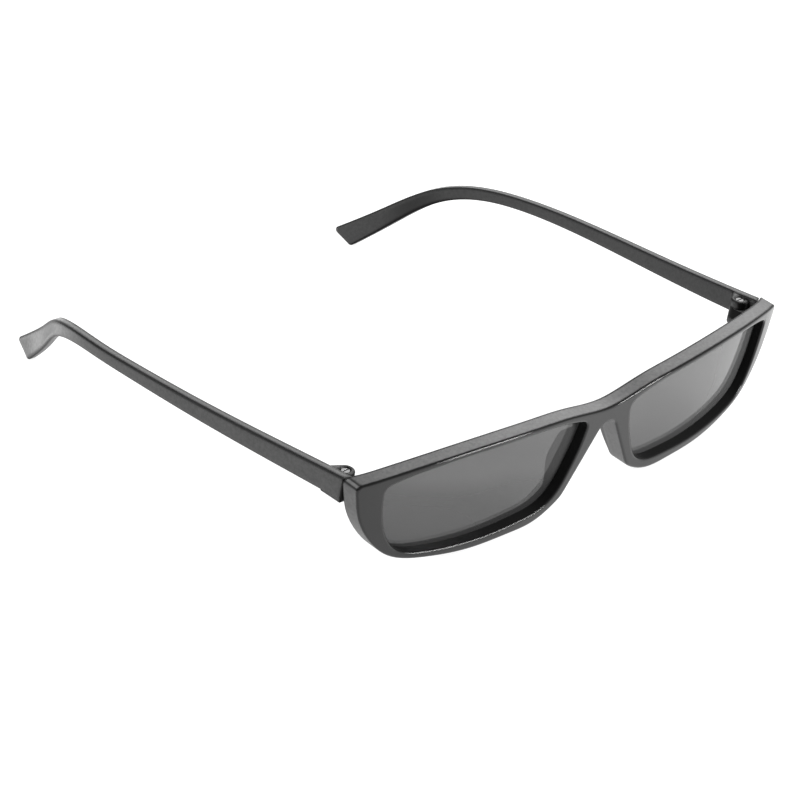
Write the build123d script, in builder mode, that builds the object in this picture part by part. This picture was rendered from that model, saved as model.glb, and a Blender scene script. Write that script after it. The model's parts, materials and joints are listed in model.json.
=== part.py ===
"""Narrow rectangle sunglasses: one moulded front, two tinted lenses, two folding temples, two hinge screws.

The pieces are drawn with the front upright: X runs towards the wearer's left, Y back along the
temples, Z up, and the bridge's front face lies on Y = 0. They are then tipped together so that the
glasses stand on the lower rims and the temple tips, with the origin under the middle of the whole.
All sizes are in millimetres.
"""

import os
from math import cos, hypot, radians, sin, tan

from build123d import *

os.makedirs("parts", exist_ok=True)

# Front, seen from above: its ends are deeper, and lie further back than its middle. The face comes
# back in a gentle curve from the flat middle to the turn, and in a sharper one from there on.
front_half_width = 72.8
front_depth = 4.2
front_end_depth = 5.0
flat_half_width = 20.0
face_turn_inset = 6.8
face_turn_back = 6.6
corner_back = 9.2

# Lean of the finished front in degrees, with its low rim further back than its brow
face_lean = 2.6

# Front, seen from its front: heights are taken from the level of the brow's ends
bridge_dip = 0.6
brow_rise = 2.84
corner_drop = 0.9
corner_radius = 1.6
rim_drop = 25.1
bridge_height = 4.0
nose_arch_radius = 3.5
nose_slope = 30.0
nose_straight_height = 10.9
brow_shares = ((0.165, 0.363), (0.33, 0.824), (0.55, 1.0), (0.77, 0.64))
rim_shares = (
    (0.974, 0.345),
    (0.914, 0.63),
    (0.832, 0.826),
    (0.67, 0.945),
    (0.487, 0.997),
    (0.29, 1.0),
    (0.132, 0.965),
    (0.05, 0.862),
)

# Lens openings, left inside the front's outline
rim_outer_width = 6.9
rim_brow_height = 1.4
rim_brow_end_height = 2.2
rim_low_height = 2.2
rim_nose_width = 4.4
opening_corner_radius = 2.4
opening_brow_shares = (
    (0.078, -0.55),
    (0.283, 0.72),
    (0.5, 1.0),
    (0.694, 0.85),
    (0.792, 0.45),
    (0.9, -0.25),
)
opening_low_shares = (
    (0.993, 0.34),
    (0.966, 0.62),
    (0.903, 0.855),
    (0.79, 0.95),
    (0.63, 0.99),
    (0.457, 1.0),
    (0.294, 0.985),
    (0.178, 0.945),
    (0.12, 0.855),
    (0.063, 0.62),
    (0.018, 0.32),
)

# Lenses in their grooves
lens_recess = 2.6
lens_thickness = 1.1
groove_depth = 0.7
lens_play = 0.05

# Nose pads, moulded on the inner rims
pad_reach = 3.75
pad_flare = 2.6
pad_root_width = 1.4
pad_root_depth = 1.4
pad_top_drop = 6.4
pad_low_drop = 24.0
pad_edge_radius = 0.4
pad_side_shares = (
    (0.0, 0.0),
    (0.36, 0.06),
    (0.84, 0.14),
    (1.0, 0.26),
    (0.895, 0.455),
    (0.545, 0.66),
    (0.29, 0.835),
    (0.2, 0.94),
    (0.0, 1.0),
)
pad_plan_shares = ((0.0, 0.1), (0.2, 0.6), (0.72, 1.0), (1.0, 0.84), (0.74, 0.4), (0.5, 0.06))

# Edge rounding of the front
front_edge_radius = 0.45
rear_edge_radius = 0.3

# Hinges: the temple's two knuckles hold the screw, and the front's lug turns on it between them
hinge_inset = 1.35
hinge_back = 2.45
hinge_top_drop = 1.45
knuckle_radius = 2.1
knuckle_height = 2.0
lug_height = 2.5
lug_root_width = 2.2
lug_root_depth = 1.0
knuckle_edge_radius = 0.4
hinge_gap = 0.3
stack_gap = 0.1
gusset_length = 4.0
screw_radius = 0.7
screw_head_radius = 1.05
screw_head_height = 0.7
screw_slot_width = 0.3
screw_slot_depth = 0.3
head_recess_gap = 0.2
head_recess_depth = 0.9
pivot_gap = 0.05
thread_gap = 0.02
seat_gap = 0.02
screw_end_gap = 0.3
screw_edge_radius = 0.15

# Temples: stations give distance back, drop and turn inwards as shares of the sizes, and height
temple_length = 126.0
temple_thickness = 2.5
temple_front_height = 5.6
temple_inset = 0.6
temple_top_drop = 0.8
temple_drop = 34.6
temple_turn_in = 16.3
temple_butt_gap = 0.3
temple_edge_radius = 0.5
temple_tip_radius = 1.0
temple_tip_slant_share = 0.45
temple_shares = (
    (-0.03, -0.01, 0.0, 1.02),
    (0.0, 0.0, 0.0, 1.0),
    (0.177, 0.055, -0.03, 0.86),
    (0.352, 0.098, -0.072, 0.72),
    (0.528, 0.142, -0.06, 0.6),
    (0.616, 0.175, -0.006, 0.565),
    (0.704, 0.228, 0.123, 0.585),
    (0.792, 0.353, 0.362, 0.69),
    (0.878, 0.622, 0.718, 0.87),
    (0.948, 0.859, 0.915, 1.06),
    (0.981, 0.964, 0.973, 1.14),
)

# Length by which cutting tools run past the solids
overrun = 2.0

# Search for the tilt at which the glasses stand, in degrees
largest_tilt = 24.0
tilt_precision = 0.005

# Places worked out from the sizes above
face_turn_x = front_half_width - face_turn_inset
lean = Rot(X=face_lean)
nose_apex_z = -bridge_dip - bridge_height
nose_arch_centre_z = nose_apex_z - nose_arch_radius
nose_side_x = nose_arch_radius * cos(radians(nose_slope))
nose_side_z = nose_arch_centre_z + nose_arch_radius * sin(radians(nose_slope))
nose_low_x = nose_side_x + nose_straight_height * tan(radians(nose_slope))
nose_low_z = nose_side_z - nose_straight_height
opening_inner_x = nose_side_x + rim_nose_width
opening_outer_x = front_half_width - rim_outer_width
hinge_y = corner_back + front_end_depth + hinge_back
temple_start_y = corner_back + front_end_depth + temple_butt_gap
temple_start_x = front_half_width - temple_inset - temple_thickness / 2
temple_start_z = -temple_top_drop - temple_front_height / 2
hinge_x = temple_start_x - temple_thickness / 2 - hinge_inset
upper_knuckle_z = -hinge_top_drop - knuckle_height
lug_z = upper_knuckle_z - stack_gap - lug_height
lower_knuckle_z = lug_z - stack_gap - knuckle_height


def face_line(setback, end_setback):
    """Draws half of the face curve from above, moved back, and its end by end_setback. Returns its ends."""
    end_x = front_half_width + overrun
    flat = Line((0, setback), (flat_half_width, setback))
    lens_arc = TangentArc(flat @ 1, (face_turn_x, setback + face_turn_back), tangent=flat % 1)
    end_arc = TangentArc(lens_arc @ 1, (end_x, end_setback + face_back(end_x)), tangent=lens_arc % 1)
    return flat @ 0, end_arc @ 1


def face_slab(front_setback, rear_setback, end_setback):
    """A wall between two lines like the face curve, taller than the front; the rear one has its own end."""
    with BuildPart() as slab:
        with BuildSketch(Plane.XY.offset(-rim_drop - overrun)):
            with BuildLine():
                front_middle, front_end = face_line(front_setback, front_setback)
                rear_middle, rear_end = face_line(rear_setback, end_setback)
                Line(front_middle, rear_middle)
                Line(front_end, rear_end)
            make_face()
            mirror(about=Plane.YZ)
        extrude(amount=brow_rise + rim_drop + 2 * overrun)
    return slab.part


def face_back(x):
    """How far back the face curve lies at x, with its last stretch taken as straight."""
    if x > face_turn_x:
        share = (x - face_turn_x) / (front_half_width - face_turn_x)
        return face_turn_back + share * (corner_back - face_turn_back)
    span = face_turn_x - flat_half_width
    arc_radius = (span**2 + face_turn_back**2) / (2 * face_turn_back)
    return arc_radius - (arc_radius**2 - max(x - flat_half_width, 0) ** 2) ** 0.5


def front_sketch():
    """The whole outline of the front."""
    rim_span = front_half_width - nose_low_x
    brow = [(front_half_width * x, brow_rise * z) for x, z in brow_shares]
    brow_half = [*brow, (front_half_width, -corner_drop)]
    other_half = [(-x, z) for x, z in reversed(brow_half)]
    rim = [(nose_low_x + rim_span * x, -rim_drop * z) for x, z in rim_shares]
    rim_half = [brow_half[-1], *rim, (nose_low_x, nose_low_z)]
    up_the_nose = (nose_side_x - nose_low_x, nose_side_z - nose_low_z)
    down_the_side = (rim[0][0] - front_half_width, rim[0][1] + corner_drop)
    with BuildSketch(Plane.XZ) as sketch:
        with BuildLine():
            Spline(*rim_half, tangents=(down_the_side, up_the_nose))
            Line((nose_low_x, nose_low_z), (nose_side_x, nose_side_z))
            mirror(about=Plane.YZ)
            RadiusArc((nose_side_x, nose_side_z), (-nose_side_x, nose_side_z), -nose_arch_radius)
            Spline(*other_half, (0, -bridge_dip), *brow_half)
        make_face()
        fillet(sketch.vertices().filter_by(lambda v: abs(v.X) > face_turn_x), corner_radius)
    return sketch.sketch


def moved_left(points, shifts):
    """The points of a row, moved left of its direction by one shift, or each by its own from a list."""
    if not isinstance(shifts, list):
        shifts = [shifts for point in points]
    moved = []
    for place, (first, second) in enumerate(points):
        before = points[max(place - 1, 0)]
        after = points[min(place + 1, len(points) - 1)]
        run = after[0] - before[0]
        rise = after[1] - before[1]
        step = shifts[place] / hypot(run, rise)
        moved.append((first - rise * step, second + run * step))
    return moved


def opening_sketch(grow):
    """The left lens opening, larger by grow all round."""
    width = opening_outer_x - opening_inner_x
    low = rim_drop - rim_low_height
    brow_height = brow_rise - rim_brow_height
    inner_top = (opening_inner_x, -rim_brow_end_height)
    outer_top = (opening_outer_x, -rim_brow_end_height)
    brow = [(opening_inner_x + width * x, brow_height * z) for x, z in opening_brow_shares]
    around = [(opening_inner_x + width * x, -low * z) for x, z in opening_low_shares]
    brow = moved_left((inner_top, *brow, outer_top), grow)
    around = moved_left((outer_top, *around, inner_top), grow)
    inner_corner = (opening_inner_x - grow, grow - rim_brow_end_height)
    outer_corner = (opening_outer_x + grow, grow - rim_brow_end_height)
    with BuildSketch(Plane.XZ) as sketch:
        with BuildLine():
            Spline(inner_corner, *brow[1:-1], outer_corner)
            Spline(outer_corner, *around[1:-1], inner_corner)
        make_face()
        fillet(sketch.vertices(), opening_corner_radius + grow)
    return sketch.sketch


def curved_plate(outline, front_setback, rear_setback, end_setback):
    """A plate with the given outline, cut from a face slab."""
    with BuildPart() as plate:
        add(face_slab(front_setback, rear_setback, end_setback))
        extrude(outline, amount=corner_back + end_setback + overrun, both=True, mode=Mode.INTERSECT)
    return plate.part


def nose_pad():
    """The left nose pad: a fin that leans outwards behind the inner rim, drop-shaped from the side."""
    root = front_depth - pad_root_depth
    height = pad_low_drop - pad_top_drop
    top_x = nose_side_x + (nose_side_z + pad_top_drop) * tan(radians(nose_slope))
    fin = [(pad_flare * x, front_depth + pad_reach * y) for x, y in pad_plan_shares]
    drop = [(front_depth + pad_reach * y, -pad_top_drop - height * z) for y, z in pad_side_shares]
    slant = (sin(radians(nose_slope)), 0, -cos(radians(nose_slope)))
    with BuildPart() as pad:
        with BuildSketch(Plane((top_x, 0, -pad_top_drop))):
            with BuildLine():
                Spline(*fin)
                Polyline(fin[-1], (pad_root_width, front_depth), (pad_root_width, root), (0, root), fin[0])
            make_face()
        extrude(amount=height / cos(radians(nose_slope)), dir=slant)
        with BuildSketch(Plane.YZ):
            with BuildLine():
                Spline(*drop)
                Polyline(drop[-1], (root, -pad_low_drop), (root, -pad_top_drop), drop[0])
            make_face()
        extrude(amount=front_half_width, mode=Mode.INTERSECT)
        extrude(front_outline, amount=front_depth + pad_reach + overrun, both=True, mode=Mode.INTERSECT)
        clear_of_front = front_depth + 2 * pad_edge_radius
        fillet(pad.edges().filter_by(lambda e: e.center().Y > clear_of_front), pad_edge_radius)
    return pad.part


def lug_sketch(level, grow):
    """The left hinge lug seen from above, drawn at a level, with its sides and round end grown."""
    inner_x = opening_outer_x + groove_depth + hinge_gap
    outer_x = inner_x + lug_root_width
    root_y = front_depth - lug_root_depth
    with BuildSketch(Plane.XY.offset(level)) as sketch:
        with BuildLine() as edge:
            Line(
                (inner_x - grow, face_back(inner_x) + root_y),
                (outer_x + grow, face_back(outer_x) + root_y),
            )
            CenterArc((hinge_x, hinge_y), knuckle_radius + grow, 0, 360)
        make_hull(edge.edges())
    return sketch.sketch


def hinge_lug():
    """The hinge lug on the left of the front."""
    with BuildPart() as lug:
        extrude(lug_sketch(lug_z, 0), amount=lug_height)
    return lug.part


def knuckle(level, round_end):
    """One knuckle of the left temple, widened to meet its side, with its low or top end rounded."""
    root_x = temple_start_x
    with BuildPart() as disc:
        with BuildSketch(Plane.XY.offset(level)):
            with BuildLine() as edge:
                Line((root_x, temple_start_y + hinge_gap), (root_x, hinge_y + gusset_length))
                CenterArc((hinge_x, hinge_y), knuckle_radius, 0, 360)
            make_hull(edge.edges())
        extrude(amount=knuckle_height)
        fillet(disc.faces().sort_by(Axis.Z)[round_end].edges(), knuckle_edge_radius)
    return disc.part


def hinge_pin(radius, low, high):
    """A round bar on the left hinge's axis between two levels."""
    with BuildPart() as bar:
        with BuildSketch(Plane.XY.offset(low)):
            with Locations((hinge_x, hinge_y)):
                Circle(radius)
        extrude(amount=high - low)
    return bar.part


def band_sketch(plane, middle, widths, tip_radius, slant_share):
    """A band around a middle line, whose last end is cut at a slant and rounded at its corners."""
    one_side = moved_left(middle, [width / 2 for width in widths])
    other_side = moved_left(middle, [-width / 2 for width in widths])
    last, before = Vector(*other_side[-1]), Vector(*other_side[-2])
    other_side[-1] = last + (before - last) * slant_share
    with BuildSketch(plane) as sketch:
        with BuildLine():
            one_edge = Spline(*one_side)
            other_edge = Spline(*other_side)
            Line(one_edge @ 0, other_edge @ 0)
            tip = Line(one_edge @ 1, other_edge @ 1)
        make_face()
        if tip_radius:
            fillet(sketch.vertices().sort_by_distance(tip @ (1 / 2))[:2], tip_radius)
    return sketch.sketch


def near_setback(setback):
    """A test for edges whose middle lies nearer to this setback than half the front's depth."""
    def is_near(edge):
        middle = edge.center()
        return abs(middle.Y - face_back(abs(middle.X)) - setback) < front_depth / 2
    return is_near


front_outline = front_sketch()

with BuildPart() as plate:
    add(curved_plate(front_outline, 0, front_depth, front_end_depth))
    opening = opening_sketch(0)
    extrude(opening, amount=corner_back + front_end_depth, both=True, mode=Mode.SUBTRACT)
    extrude(opening.mirror(Plane.YZ), amount=corner_back + front_end_depth, both=True, mode=Mode.SUBTRACT)
    for setback, radius in ((front_depth, rear_edge_radius), (0, front_edge_radius)):
        around = plate.edges().filter_by(Axis.Z, reverse=True)
        around = around.filter_by(Axis.Y, reverse=True).filter_by(near_setback(setback))
        fillet(around, radius)
    pad = nose_pad()
    add(pad)
    mirror(pad, about=Plane.YZ)
    groove_rear = lens_recess + lens_thickness
    groove = curved_plate(opening_sketch(groove_depth), lens_recess, groove_rear, groove_rear)
    add(groove, mode=Mode.SUBTRACT)
    mirror(groove, about=Plane.YZ, mode=Mode.SUBTRACT)

with BuildPart() as front_frame:
    add(lean * plate.part)
    lug = hinge_lug()
    add(lug)
    mirror(lug, about=Plane.YZ)
    lug_bore = hinge_pin(screw_radius + pivot_gap, lug_z, lug_z + lug_height)
    add(lug_bore, mode=Mode.SUBTRACT)
    mirror(lug_bore, about=Plane.YZ, mode=Mode.SUBTRACT)

with BuildPart() as lens_left:
    lens_front = lens_recess + lens_play
    lens_outline = opening_sketch(groove_depth - lens_play)
    lens_rear = lens_front + lens_thickness - 2 * lens_play
    add(lean * curved_plate(lens_outline, lens_front, lens_rear, lens_rear))

with BuildPart() as lens_right:
    mirror(lens_left.part, about=Plane.YZ)

with BuildPart() as temple_left:
    middle = [
        (
            temple_start_x - temple_turn_in * turn,
            temple_start_y + temple_length * back,
            temple_start_z - temple_drop * drop,
        )
        for back, drop, turn, height in temple_shares
    ]
    heights = [temple_front_height * height for back, drop, turn, height in temple_shares]
    from_side = [(y, z) for x, y, z in middle]
    from_top = [(x, y) for x, y, z in middle]
    end, before = Vector(*from_top[-1]), Vector(*from_top[-2])
    past = end + (end - before).normalized() * temple_front_height
    from_top.append((past.X, past.Y))
    side_view = band_sketch(Plane.YZ, from_side, heights, temple_tip_radius, temple_tip_slant_share)
    widths = [temple_thickness for point in from_top]
    top_view = band_sketch(Plane.XY, from_top, widths, 0, 0)
    extrude(side_view, amount=front_half_width + overrun)
    extrude(top_view, amount=temple_drop + temple_front_height, both=True, mode=Mode.INTERSECT)
    long_edges = temple_left.edges().filter_by(lambda e: e.center().Y > temple_start_y)
    fillet(long_edges, temple_edge_radius)
    butt = face_slab(0, front_depth + temple_butt_gap, front_end_depth + temple_butt_gap)
    add(lean * butt, mode=Mode.SUBTRACT)
    pocket_z = lug_z - stack_gap
    extrude(lug_sketch(pocket_z, hinge_gap), amount=lug_height + 2 * stack_gap, mode=Mode.SUBTRACT)
    add(knuckle(upper_knuckle_z, -1))
    add(knuckle(lower_knuckle_z, 0))
    add(hinge_pin(screw_radius + thread_gap, lower_knuckle_z, -hinge_top_drop), mode=Mode.SUBTRACT)
    recess_radius = screw_head_radius + head_recess_gap
    recess_z = -hinge_top_drop - head_recess_depth
    add(hinge_pin(recess_radius, recess_z, -hinge_top_drop), mode=Mode.SUBTRACT)

with BuildPart() as temple_right:
    mirror(temple_left.part, about=Plane.YZ)

with BuildPart() as hinge_screw_left:
    seat_z = recess_z + seat_gap
    add(hinge_pin(screw_radius, lower_knuckle_z + screw_end_gap, seat_z))
    add(hinge_pin(screw_head_radius, seat_z, seat_z + screw_head_height))
    fillet(hinge_screw_left.edges().sort_by(Axis.Z)[-1], screw_edge_radius)
    with BuildSketch(Plane.XY.offset(seat_z + screw_head_height)):
        with Locations((hinge_x, hinge_y)):
            Rectangle(2 * screw_head_radius + screw_slot_width, screw_slot_width)
    extrude(amount=-screw_slot_depth, mode=Mode.SUBTRACT)

with BuildPart() as hinge_screw_right:
    mirror(hinge_screw_left.part, about=Plane.YZ)

# The glasses are tipped about X until the lower rims and the temple tips are equally low
tilt = 0
tilt_step = largest_tilt
while tilt_step > tilt_precision:
    tilt_step = tilt_step / 2
    trial = Rot(X=tilt + tilt_step)
    front_low = (trial * front_frame.part).bounding_box().min.Z
    temple_low = (trial * temple_left.part).bounding_box().min.Z
    if temple_low < front_low:
        tilt = tilt + tilt_step
tipped = [Rot(X=tilt) * piece.part for piece in (front_frame, temple_left, temple_right)]
low = min(piece.bounding_box().min.Z for piece in tipped)
near = min(piece.bounding_box().min.Y for piece in tipped)
far = max(piece.bounding_box().max.Y for piece in tipped)
rest = Location((0, -(near + far) / 2, -low)) * Rot(X=tilt)

pieces = (
    (front_frame, "front_frame"),
    (lens_left, "lens_left"),
    (lens_right, "lens_right"),
    (temple_left, "temple_left"),
    (temple_right, "temple_right"),
    (hinge_screw_left, "hinge_screw_left"),
    (hinge_screw_right, "hinge_screw_right"),
)
for piece, label in pieces:
    piece.part.move(rest)
    piece.part.label = label
    export_step(piece.part, "parts/" + label + ".step")
print("tilt", tilt, "rest", rest)
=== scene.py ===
"""Dresses the narrow rectangle sunglasses: plastics, tinted lenses, screws, studio and camera.

Lengths are in metres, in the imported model's own frame. The glasses stand tipped forward by a few
degrees, so places known on the upright glasses are carried over by the tilt and the place that
the left hinge gives.
"""

import json
import math

import bmesh
import bpy
from mathutils import Matrix, Vector

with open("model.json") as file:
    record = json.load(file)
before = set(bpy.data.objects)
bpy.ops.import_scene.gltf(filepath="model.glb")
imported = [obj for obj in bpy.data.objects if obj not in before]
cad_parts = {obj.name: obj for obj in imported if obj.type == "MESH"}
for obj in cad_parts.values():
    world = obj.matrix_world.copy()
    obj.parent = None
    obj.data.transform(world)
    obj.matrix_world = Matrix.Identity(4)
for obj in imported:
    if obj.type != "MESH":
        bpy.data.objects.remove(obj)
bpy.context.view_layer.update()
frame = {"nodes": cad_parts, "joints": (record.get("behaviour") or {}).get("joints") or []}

bl_info = {
    "name": "Narrow rectangle sunglasses",
    "version": (1, 0, 0),
    "blender": (4, 5, 0),
    "location": "3D View > Sidebar > Sunglasses",
    "description": "Finishes the sunglasses' plastic, lenses and screws, and sets up the studio",
    "category": "Object",
}

MILLIMETRE = 0.001
ACROSS = (1.0, 0.0, 0.0)
BACK = (0.0, 1.0, 0.0)
UP = (0.0, 0.0, 1.0)

# The upright glasses: the left hinge's middle (across, back and up), the middle of a lens opening
# (across and up), and how far the front leans back
UPRIGHT_HINGE = Vector((68.35, 16.65, -4.8)) * MILLIMETRE
OPENING_ACROSS = 37.0 * MILLIMETRE
OPENING_UP = -10.5 * MILLIMETRE
FRONT_LEAN = math.radians(2.6)

# How round the shading takes the edges to be
FRONT_EDGE_RADIUS = 0.8 * MILLIMETRE
TEMPLE_EDGE_RADIUS = 1.5 * MILLIMETRE
SCREW_EDGE_RADIUS = 0.1 * MILLIMETRE
EDGE_SAMPLES = 8

# The noises' waves per metre, and the relief of the moulded and the turned grain
MOTTLE_SCALE = 1100.0
CLOUD_SCALE = 90.0
HAZE_SCALE = 25.0
TURNING_SCALE = 1500.0
TURNING_STRETCH = (1.0, 1.0, 6.0)
GRAIN_DEPTH = 0.03 * MILLIMETRE
MOTTLE_RELIEF = 0.1
TURNING_RELIEF = 0.15

# The moulded plastic: how unevenly it shows, its greys as shares of the plain one, its roughness
# and what clouds, mottling, sides and edges change of that, and its gloss
MOTTLE_SHARE = 1.1
CLOUD_SHARE = 0.4
SATIN_SPREAD = 1.2
FACE_SPREAD = 0.2
# PAINTED_EDGE_LINE_SHARE paints the edges darker, a painted dark line, and the PAINTED_SHADE values
# make a black whose low gloss paints out reflection, for painted shade
PAINTED_EDGE_LINE_SHARE = 0.25
PAINTED_SHADE_SHARE = 0.6
FACE_ROUGHNESS = 0.14
PAINTED_SHADE_ROUGHNESS = 0.25
CLOUD_ROUGHNESS = 0.05
PAINTED_SHADE_CLOUD_ROUGHNESS = 0.1
SIDE_ROUGHNESS = 0.26
MOTTLE_ROUGHNESS = 0.05
EDGE_SMOOTHNESS = 0.06
PLASTIC_IOR = 1.5
PLASTIC_GLOSS = 0.42
PAINTED_SHADE_GLOSS = 0.05

# The lenses: the direction in which a painted sheen lightens the grey, how much haze bends and
# roughens it, how far the grey spreads about the set one, and how much less the top stops, also
# painted
LENS_SHEEN_DIRECTION = (0.35, 0.0, 1.0)
HAZE_BEND = 0.012
HAZE_ROUGHNESS = 0.04
LENS_SHEEN_SPREAD = 0.4
LENS_ROUGHNESS = 0.04
LENS_IOR = 1.58
LENS_GLOSS = 0.15
LENS_TOP_SHEEN_DROP = 0.02

# The screws' steel
STEEL_DARK = 0.13
STEEL_LIGHT = 0.26
STEEL_ROUGHNESS = 0.3
TURNING_ROUGHNESS = 0.15

# Where the front's masks begin and end. A pair of pairs is a band that rises and falls. All but
# WALL_INWARDS, in metres, measure the cosine between the surface's facing and a direction
# WALL_LEVEL and WALL_INWARDS place painted shade inside the lens openings
WALL_LEVEL = (0.2, 0.6)
WALL_INWARDS = (-0.003, 0.001)
SIDE_LEVEL = (0.15, 0.35)
# EDGE_LEVELS marks the polished edges that PAINTED_EDGE_LINE_SHARE paints darker
EDGE_LEVELS = ((0.2, 0.35), (0.84, 0.91))
# LINE_LEVELS to CORNER_SHADE place painted dark lines of shade along the front's edges
LINE_LEVELS = ((0.03, 0.1), (0.72, 0.8))
LINE_UP = (0.15, 0.4)
REAR_LINE_BACK = (0.1, 0.3)
REAR_LINE_ASIDE = (0.3, 0.5)
CORNER_SLOPES = ((0.12, 0.4), (0.43, 0.48))
CORNER_SHADE = 0.8

# The temples' masks, measured alike, but for TIP_PLACE, in metres
# TEMPLE_EDGE_LEVELS marks the polished edges, which are painted dark
TEMPLE_EDGE_LEVELS = ((0.06, 0.25), (0.78, 0.94))
# TIP_BACK, TIP_PLACE and TIP_SHEEN_GAIN paint a sheen on each tip where it turns back
TIP_BACK = (0.04, 0.45)
TIP_PLACE = (0.02, 0.055)
TIP_SHEEN_GAIN = 5.0
# INNER_FACE and INNER_SHADE_LOSS paint shade on the temples' inward faces
INNER_FACE = (0.3, 0.8)
INNER_SHADE_LOSS = 0.4

# Where the lenses' painted sheen lightens the tint and lowers the strength, in metres up
LENS_SHEEN_LOW = (0.004, 0.012)
LENS_SHEEN_HIGH = (0.014, 0.04)
LENS_TOP_SHEEN_UP = (0.002, 0.026)

# The lamps: name, direction from the aim, width and height, and power in watts
LAMPS = (
    ("softbox", (0.658, 0.552, 0.512), (1.1, 0.5), 3.4),
    ("edge_lamp", (0.42, -0.82, 0.3), (0.4, 0.1), 8.0),
    ("tip_lamp", (-0.49, 0.552, 0.636), (0.5, 0.2), 3.5),
)
LAMP_AIM = Vector((0.0, -0.03, 0.01))
LAMP_DISTANCE = 0.9

# The room's light on the glasses, and the floor's greys and glow
ROOM_LIGHT = 0.45
FLOOR_HALF = 4.0
FLOOR_PAPER = 0.8
FLOOR_SEEN = 0.45
FLOOR_GLOW = 0.78

# The rays that show a white background in place of the light that falls on the glasses
DIRECT_RAYS = ("Is Camera Ray", "Is Glossy Ray", "Is Transmission Ray")

# The camera looks about this place on the upright glasses, on a frame of this many millimetres
CAMERA_AIM = Vector((0.0, 0.05, 0.0))
CAMERA_FRAME = 36.0
CAMERA_NEAR = 0.01
CAMERA_FAR = 20.0


def upright_to_frame():
    """The matrix that carries a place on the upright glasses, in metres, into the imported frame."""
    hinge = next(joint for joint in frame["joints"] if joint["name"] == "hinge_left")
    turn = Matrix.Rotation(math.atan2(-hinge["axis"][1], hinge["axis"][2]), 4, "X")
    place = Vector(hinge["pos_m"]) - turn @ UPRIGHT_HINGE
    return Matrix.Translation(place) @ turn


class Value:
    """A shader socket that takes part in sums, so that maths on it adds Math nodes."""

    def __init__(self, nodes, socket):
        self.nodes = nodes
        self.socket = socket

    def maths(self, operation, *others, clamp=False):
        """One Math node on this value and the others."""
        settings = {"operation": operation, "use_clamp": clamp}
        return self.nodes.node("ShaderNodeMath", settings, dict(enumerate((self, *others))))

    def __abs__(self):
        return self.maths("ABSOLUTE")

    def __add__(self, other):
        return self.maths("ADD", other)

    __radd__ = __add__

    def __mul__(self, other):
        return self.maths("MULTIPLY", other)

    __rmul__ = __mul__

    def __sub__(self, other):
        return self.maths("SUBTRACT", other)

    def __rsub__(self, other):
        return self.maths("MULTIPLY", -1.0).maths("ADD", other)

    def clamped(self):
        """This value held between 0 and 1."""
        return self.maths("ADD", 0.0, clamp=True)

    def ramp(self, low, high):
        """0 where this value is under low, 1 where it is over high, and smooth between."""
        values = {"Value": self, "From Min": low, "From Max": high}
        settings = {"interpolation_type": "SMOOTHSTEP"}
        return self.nodes.node("ShaderNodeMapRange", settings, values)

    def band(self, rise, fall):
        """1 between a rise and a fall, each from one value to another, and 0 outside."""
        return self.ramp(*rise) * (1.0 - self.ramp(*fall))


class Nodes:
    """A node tree under construction."""

    def __init__(self, tree):
        self.tree = tree

    def node(self, kind, settings=None, values=None, output=0):
        """Adds a node, applies its settings, then its values and links, and gives an output."""
        made = self.tree.nodes.new(kind)
        for name, setting in (settings or {}).items():
            setattr(made, name, setting)
        for key, value in (values or {}).items():
            if isinstance(value, Value):
                self.tree.links.new(value.socket, made.inputs[key])
            else:
                made.inputs[key].default_value = value
        return Value(self, made.outputs[output])

    def seen_directly(self):
        """1 for rays from the camera, mirrors and glass, and 0 for the rest."""
        first, second, third = (self.node("ShaderNodeLightPath", output=ray) for ray in DIRECT_RAYS)
        return (first + second + third).clamped()


class Shader(Nodes):
    """A node material under construction."""

    def __init__(self, name):
        self.material = bpy.data.materials.new(name)
        self.material.use_nodes = True
        super().__init__(self.material.node_tree)
        self.tree.nodes.clear()

    def coordinate(self, output="Object"):
        """A Texture Coordinate output: Object for the place, Normal for the facing."""
        return self.node("ShaderNodeTexCoord", output=output)

    def rounded(self, radius):
        """The facing as if every edge were rounded to this radius."""
        return self.node("ShaderNodeBevel", {"samples": EDGE_SAMPLES}, {"Radius": radius})

    def along(self, vector, direction):
        """How far a vector reaches along a fixed direction."""
        settings = {"operation": "DOT_PRODUCT"}
        values = {0: vector, 1: tuple(direction)}
        return self.node("ShaderNodeVectorMath", settings, values, output=1)

    def noise(self, scale, detail=2.0, roughness=0.5, stretch=(1.0, 1.0, 1.0)):
        """Soft noise between 0 and 1, by place, stretched along the axes."""
        values = {"Vector": self.coordinate(), "Scale": stretch}
        spread = self.node("ShaderNodeMapping", values=values)
        values = {"Vector": spread, "Scale": scale, "Detail": detail, "Roughness": roughness}
        return self.node("ShaderNodeTexNoise", values=values)

    def mix(self, factor, first, second):
        """A colour between two colours."""
        settings = {"data_type": "RGBA"}
        return self.node("ShaderNodeMix", settings, {0: factor, 6: first, 7: second}, output=2)

    def bump(self, height, strength, normal):
        """A normal that follows the grain's height."""
        values = {"Height": height, "Strength": strength, "Distance": GRAIN_DEPTH, "Normal": normal}
        return self.node("ShaderNodeBump", values=values)

    def surface(self, values):
        """A Principled shader with its values."""
        return self.node("ShaderNodeBsdfPrincipled", values=values)

    def blend(self, factor, first, second):
        """One shader where the factor is 0 and another where it is 1."""
        return self.node("ShaderNodeMixShader", values={0: factor, 1: first, 2: second})

    def finish(self, shader):
        """Joins a shader to the material's output, and gives the material."""
        out = self.tree.nodes.new("ShaderNodeOutputMaterial")
        self.tree.links.new(shader.socket, out.inputs["Surface"])
        return self.material


def grey(level):
    """An even grey colour."""
    return (level, level, level, 1.0)


def spread_greys(level, spread):
    """A darker and a lighter grey about a level, by a share of it."""
    return grey(level * (1.0 - spread)), grey(level * (1.0 + spread))


def dress(node, material):
    """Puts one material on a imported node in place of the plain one."""
    piece = frame["nodes"][node]
    piece.data.materials.clear()
    piece.data.materials.append(material)


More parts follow.
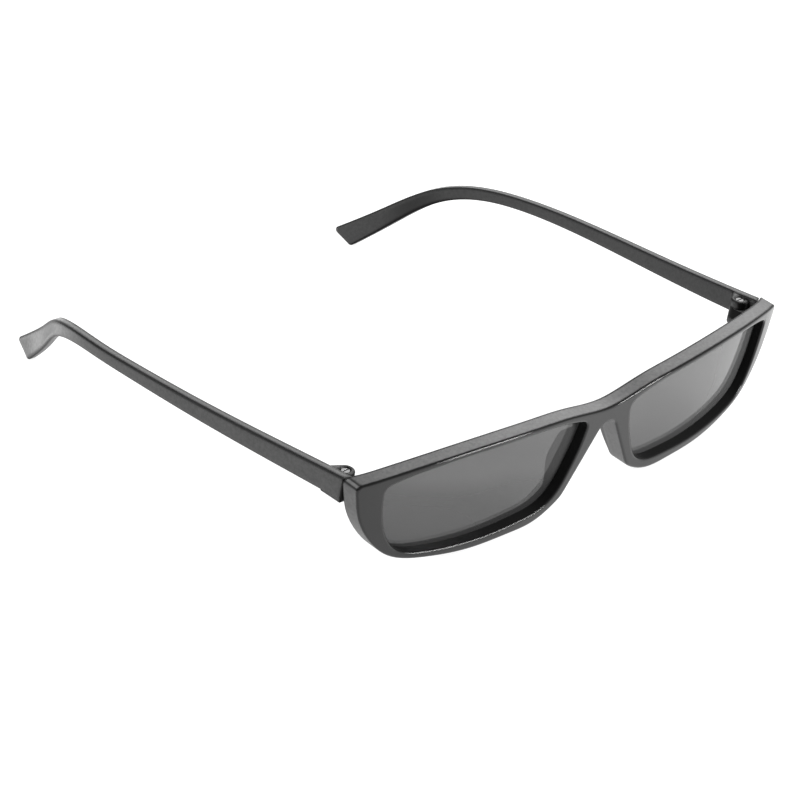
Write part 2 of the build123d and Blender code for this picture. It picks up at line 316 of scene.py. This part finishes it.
def plastic_finish(shader, facing, plain, satin, edge, sides, shade):
    """Black moulded plastic: satin sides, smoother faces, edges polished and painted darker.

    plain and satin are greys. edge, sides and shade are masks between 0 and 1: the rounded edges,
    the satin sides, and painted shade, a black with little gloss, along the edges and inside an
    opening.
    """
    mottle = shader.noise(MOTTLE_SCALE, detail=3.0, roughness=0.7)
    clouds = shader.noise(CLOUD_SCALE)
    uneven = (mottle - 0.5) * MOTTLE_SHARE + (clouds - 0.5) * CLOUD_SHARE
    satin_grey = shader.mix((uneven * SATIN_SPREAD + 1.0) * satin, grey(0.0), grey(1.0))
    face_grey = shader.mix(clouds, *spread_greys(plain, FACE_SPREAD))
    colour = shader.mix(sides, face_grey, satin_grey)
    side_roughness = sides * (SIDE_ROUGHNESS + uneven * MOTTLE_ROUGHNESS)
    roughness = FACE_ROUGHNESS + clouds * CLOUD_ROUGHNESS + side_roughness
    # The edges' darker grey is a painted dark line; their lower roughness is polish
    lit = shader.surface(
        {
            "Base Color": shader.mix(edge, colour, grey(plain * PAINTED_EDGE_LINE_SHARE)),
            "Roughness": roughness - edge * EDGE_SMOOTHNESS,
            "IOR": PLASTIC_IOR,
            "Specular IOR Level": PLASTIC_GLOSS,
            "Normal": shader.bump(mottle, MOTTLE_RELIEF, facing),
        }
    )
    # Painted shade: a near black whose low gloss paints out the reflection
    painted_shade_surface = shader.surface(
        {
            "Base Color": grey(plain * PAINTED_SHADE_SHARE),
            "Roughness": PAINTED_SHADE_ROUGHNESS + clouds * PAINTED_SHADE_CLOUD_ROUGHNESS,
            "Specular IOR Level": PAINTED_SHADE_GLOSS,
        }
    )
    return shader.finish(shader.blend(shade, lit, painted_shade_surface))


def front_plastic(plastic):
    """The front's plastic: satin outer sides, and painted shade inside the lens openings and on
    edges.
    """
    shader = Shader("front_plastic")
    turn = upright_to_frame() @ Matrix.Rotation(FRONT_LEAN, 4, "X")
    across, back, up, origin = (turn.col[i].xyz for i in range(4))

    # Painted shade blackens the wall of an opening, which faces its middle; the front's own sides
    # face away from it
    flat_facing = shader.coordinate("Normal")
    place = shader.coordinate()
    aside = shader.along(place, across)
    height = shader.along(place, up) - origin.dot(up)
    outwards = aside.maths("SIGN") * (abs(aside) - OPENING_ACROSS)
    outwards = outwards * shader.along(flat_facing, across)
    upwards = shader.along(flat_facing, up) * (height - OPENING_UP)
    inwards = 1.0 - (outwards + upwards).ramp(*WALL_INWARDS)
    painted_wall_shade = (1.0 - abs(shader.along(flat_facing, back)).ramp(*WALL_LEVEL)) * inwards

    # The level is 1 on the front and rear faces and 0 on the sides
    facing = shader.rounded(FRONT_EDGE_RADIUS)
    facing_back = shader.along(facing, back)
    facing_up = shader.along(facing, up)
    facing_aside = abs(shader.along(facing, across))
    level = abs(facing_back)
    sides = (1.0 - level.ramp(*SIDE_LEVEL)) * (1.0 - painted_wall_shade)
    edge = level.band(*EDGE_LEVELS)

    # Painted shade: a dark line along the top front edges, another along the rear edges of the
    # sides, and dark rounded edges between the top and the sides, but for a thin strip left to the
    # lamp's glint
    line = level.band(*LINE_LEVELS) * facing_up.ramp(*LINE_UP)
    painted_rear_line = facing_back.ramp(*REAR_LINE_BACK) * facing_aside.ramp(*REAR_LINE_ASIDE)
    painted_corner_shade = (facing_up * facing_aside).band(*CORNER_SLOPES)
    shade = (painted_wall_shade + line + painted_rear_line + painted_corner_shade * CORNER_SHADE).clamped()
    return plastic_finish(shader, facing, plastic.plain, plastic.satin, edge, sides, shade)


def temple_plastic(plastic):
    """Temples' satin plastic: polished edges painted dark, and painted sheen where each tip turns
    back.
    """
    shader = Shader("temple_plastic")
    facing = shader.rounded(TEMPLE_EDGE_RADIUS)
    facing_aside = shader.along(facing, ACROSS)
    edge = abs(facing_aside).band(*TEMPLE_EDGE_LEVELS)
    place = shader.coordinate()
    # Painted sheen: the satin grey is lighter on each tip where it turns back
    tip_sheen = shader.along(facing, BACK).ramp(*TIP_BACK) * shader.along(place, BACK).ramp(*TIP_PLACE)
    side = shader.along(place, ACROSS).maths("SIGN")
    # Painted shade darkens the temples' inward faces; with the painted sheen it changes the satin
    # grey below
    inner_shade = (side * facing_aside * -1.0).ramp(*INNER_FACE)
    satin = (tip_sheen * TIP_SHEEN_GAIN + 1.0 - inner_shade * INNER_SHADE_LOSS) * plastic.temple_satin
    # The edges' mask is also the shade mask: a painted dark line along each polished edge
    return plastic_finish(shader, facing, plastic.plain, satin, edge, 1.0 - edge, edge)


def tinted_lens(lenses):
    """Smoke-grey lens: the face that is looked at stops most light, the one behind it none."""
    shader = Shader("lens_tint")
    place = shader.coordinate()
    haze = shader.noise(HAZE_SCALE, detail=1.0)
    # Painted sheen: the lens is lighter, and stops less light, towards the top and the left side
    rise = shader.along(place, LENS_SHEEN_DIRECTION) + haze * HAZE_BEND
    tint = (rise.ramp(*LENS_SHEEN_LOW) + rise.ramp(*LENS_SHEEN_HIGH)) * 0.5
    height = shader.along(place, UP).ramp(*LENS_TOP_SHEEN_UP)
    tinted = shader.surface(
        {
            "Base Color": shader.mix(tint, *spread_greys(lenses.tint, LENS_SHEEN_SPREAD)),
            "Roughness": LENS_ROUGHNESS + haze * HAZE_ROUGHNESS,
            "IOR": LENS_IOR,
            "Specular IOR Level": LENS_GLOSS,
            "Alpha": lenses.strength - height * LENS_TOP_SHEEN_DROP,
        }
    )
    clear = shader.node("ShaderNodeBsdfTransparent")
    inside = shader.node("ShaderNodeNewGeometry", output="Backfacing")
    return shader.finish(shader.blend(inside, tinted, clear))


def turned_steel():
    """Plain steel with the fine rings of turning."""
    shader = Shader("screw_steel")
    grain = shader.noise(TURNING_SCALE, stretch=TURNING_STRETCH)
    steel = shader.surface(
        {
            "Base Color": shader.mix(grain, grey(STEEL_DARK), grey(STEEL_LIGHT)),
            "Metallic": 1.0,
            "Roughness": STEEL_ROUGHNESS + grain * TURNING_ROUGHNESS,
            "Normal": shader.bump(grain, TURNING_RELIEF, shader.rounded(SCREW_EDGE_RADIUS)),
        }
    )
    return shader.finish(steel)


class PlasticSettings(bpy.types.PropertyGroup):
    """Greys of the front and the temples."""

    plain: bpy.props.FloatProperty(
        name="Plain",
        description="Grey of the front's smooth faces",
        default=0.018,
        min=0.0,
        max=1.0,
        subtype="FACTOR",
    )
    satin: bpy.props.FloatProperty(
        name="Satin",
        description="Grey of the front's satin sides",
        default=0.105,
        min=0.0,
        max=1.0,
        subtype="FACTOR",
    )
    temple_satin: bpy.props.FloatProperty(
        name="Temple satin",
        description="Grey of the satin temples",
        default=0.059,
        min=0.0,
        max=1.0,
        subtype="FACTOR",
    )


class LensSettings(bpy.types.PropertyGroup):
    """Tint of the lenses."""

    tint: bpy.props.FloatProperty(
        name="Tint",
        description="Grey of the lenses",
        default=0.06,
        min=0.0,
        max=1.0,
        subtype="FACTOR",
    )
    strength: bpy.props.FloatProperty(
        name="Strength",
        description="Share of light a lens stops",
        default=0.94,
        min=0.0,
        max=1.0,
        subtype="FACTOR",
    )


class CameraSettings(bpy.types.PropertyGroup):
    """Where the photograph was taken from, about the upright glasses."""

    azimuth: bpy.props.FloatProperty(
        name="Azimuth",
        description="Turn round the glasses",
        default=math.radians(-50.02),
        unit="ROTATION",
    )
    elevation: bpy.props.FloatProperty(
        name="Elevation",
        description="Height above the horizon",
        default=math.radians(30.79),
        unit="ROTATION",
    )
    roll: bpy.props.FloatProperty(
        name="Roll",
        description="Turn about the line of sight",
        default=math.radians(8.80),
        unit="ROTATION",
    )
    distance: bpy.props.FloatProperty(
        name="Distance",
        description="Camera to the place it looks about",
        default=0.6243,
        unit="LENGTH",
    )
    aside: bpy.props.FloatProperty(
        name="Aside",
        description="Camera moved left of that place",
        default=0.01261,
        unit="LENGTH",
    )
    below: bpy.props.FloatProperty(
        name="Below",
        description="Camera moved below that place",
        default=0.02103,
        unit="LENGTH",
    )
    lens: bpy.props.FloatProperty(
        name="Lens",
        description="Focal length in millimetres on a 36 mm frame",
        default=119.385,
        unit="CAMERA",
    )


class SUNGLASSES_OT_front(bpy.types.Operator):
    """Finish the moulded front"""

    bl_idname = "sunglasses.front"
    bl_label = "Finish the front"

    def execute(self, context):
        """Gives the front its plastic."""
        dress("front_frame", front_plastic(context.scene.sunglasses_plastic))
        return {"FINISHED"}


class SUNGLASSES_OT_temples(bpy.types.Operator):
    """Finish both temples"""

    bl_idname = "sunglasses.temples"
    bl_label = "Finish the temples"

    def execute(self, context):
        """Gives the temples their plastic."""
        material = temple_plastic(context.scene.sunglasses_plastic)
        dress("temple_left", material)
        dress("temple_right", material)
        return {"FINISHED"}


class SUNGLASSES_OT_lenses(bpy.types.Operator):
    """Finish both lenses"""

    bl_idname = "sunglasses.lenses"
    bl_label = "Finish the lenses"

    def execute(self, context):
        """Gives the lenses their tint."""
        material = tinted_lens(context.scene.sunglasses_lenses)
        dress("lens_left", material)
        dress("lens_right", material)
        return {"FINISHED"}


class SUNGLASSES_OT_screws(bpy.types.Operator):
    """Finish both hinge screws"""

    bl_idname = "sunglasses.screws"
    bl_label = "Finish the screws"

    def execute(self, context):
        """Gives the screws their steel."""
        material = turned_steel()
        dress("hinge_screw_left", material)
        dress("hinge_screw_right", material)
        return {"FINISHED"}


class SUNGLASSES_OT_stage(bpy.types.Operator):
    """Set up the floor, the light and the camera"""

    bl_idname = "sunglasses.stage"
    bl_label = "Set up the studio"

    def execute(self, context):
        """Makes the studio and looks from where the photograph was taken."""
        make_floor(context.scene)
        make_light(context.scene)
        make_camera(context.scene)
        return {"FINISHED"}


def make_floor(scene):
    """A pale floor that reads as white and keeps a soft shadow."""
    mesh = bpy.data.meshes.new("floor")
    build = bmesh.new()
    bmesh.ops.create_grid(build, x_segments=1, y_segments=1, size=FLOOR_HALF)
    build.to_mesh(mesh)
    build.free()
    floor = bpy.data.objects.new("floor", mesh)
    scene.collection.objects.link(floor)
    shader = Shader("floor_white")
    paper = {"Base Color": grey(FLOOR_PAPER), "Roughness": 1.0, "Specular IOR Level": 0.0}
    glow = {"Emission Color": grey(1.0), "Emission Strength": FLOOR_GLOW}
    plain = shader.surface(paper)
    bright = shader.surface({**paper, "Base Color": grey(FLOOR_SEEN), **glow})
    mesh.materials.append(shader.finish(shader.blend(shader.seen_directly(), plain, bright)))


def hang_lamp(scene, name, towards, size, power):
    """A rectangular lamp that faces the front's middle from a direction."""
    lamp = bpy.data.lights.new(name, "AREA")
    lamp.shape = "RECTANGLE"
    lamp.size, lamp.size_y = size
    lamp.energy = power
    made = bpy.data.objects.new(name, lamp)
    scene.collection.objects.link(made)
    made.location = LAMP_AIM + Vector(towards).normalized() * LAMP_DISTANCE
    made.rotation_euler = (LAMP_AIM - made.location).to_track_quat("-Z", "Y").to_euler()


def make_light(scene):
    """A white room, a wide soft lamp behind, and two smaller ones for the edges and a tip."""
    world = bpy.data.worlds.new("white_room")
    world.use_nodes = True
    scene.world = world
    room = Nodes(world.node_tree)
    back = world.node_tree.nodes["Background"]
    back.inputs["Color"].default_value = grey(1.0)
    strength = ROOM_LIGHT + room.seen_directly() * (1.0 - ROOM_LIGHT)
    world.node_tree.links.new(strength.socket, back.inputs["Strength"])
    for lamp in LAMPS:
        hang_lamp(scene, *lamp)


def make_camera(scene):
    """The camera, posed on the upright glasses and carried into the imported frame."""
    seen = scene.sunglasses_camera
    across = Vector((math.cos(seen.azimuth), math.sin(seen.azimuth), 0.0))
    away = Vector(
        (
            math.sin(seen.azimuth) * math.cos(seen.elevation),
            -math.cos(seen.azimuth) * math.cos(seen.elevation),
            math.sin(seen.elevation),
        )
    )
    upward = away.cross(across)
    right = across * math.cos(seen.roll) + upward * math.sin(seen.roll)
    top = upward * math.cos(seen.roll) - across * math.sin(seen.roll)
    stand = CAMERA_AIM + away * seen.distance - right * seen.aside - top * seen.below
    pose = Matrix((right, top, away)).transposed().to_4x4()
    camera = bpy.data.cameras.new("photograph")
    camera.lens = seen.lens
    camera.sensor_width = CAMERA_FRAME
    camera.clip_start = CAMERA_NEAR
    camera.clip_end = CAMERA_FAR
    made = bpy.data.objects.new("photograph", camera)
    scene.collection.objects.link(made)
    made.matrix_world = upright_to_frame() @ Matrix.Translation(stand) @ pose
    bpy.context.scene.camera = made


class SUNGLASSES_PT_steps(bpy.types.Panel):
    """The steps and their settings"""

    bl_idname = "SUNGLASSES_PT_steps"
    bl_label = "Sunglasses"
    bl_space_type = "VIEW_3D"
    bl_region_type = "UI"
    bl_category = "Sunglasses"

    def draw(self, context):
        """Lists the settings and one button for each step."""
        for setting in SETTINGS:
            group = getattr(context.scene, setting)
            for name in group.__annotations__:
                self.layout.prop(group, name)
        for step in STEPS:
            self.layout.operator(step.bl_idname)


STEPS = (
    SUNGLASSES_OT_front,
    SUNGLASSES_OT_temples,
    SUNGLASSES_OT_lenses,
    SUNGLASSES_OT_screws,
    SUNGLASSES_OT_stage,
)
SETTINGS = {
    "sunglasses_plastic": PlasticSettings,
    "sunglasses_lenses": LensSettings,
    "sunglasses_camera": CameraSettings,
}
CLASSES = (*SETTINGS.values(), *STEPS, SUNGLASSES_PT_steps)


def register():
    """Registers the classes and hangs the settings on the scene."""
    for made in CLASSES:
        bpy.utils.register_class(made)
    for name, group in SETTINGS.items():
        setattr(bpy.types.Scene, name, bpy.props.PointerProperty(type=group))


def unregister():
    """Takes the settings and the classes away again."""
    for name in SETTINGS:
        delattr(bpy.types.Scene, name)
    for made in reversed(CLASSES):
        bpy.utils.unregister_class(made)


def main():
    """Runs every step in order."""
    register()
    bpy.context.scene.view_settings.view_transform = "Standard"
    bpy.ops.sunglasses.front()
    bpy.ops.sunglasses.temples()
    bpy.ops.sunglasses.lenses()
    bpy.ops.sunglasses.screws()
    bpy.ops.sunglasses.stage()


if __name__ == "__main__":
    main()
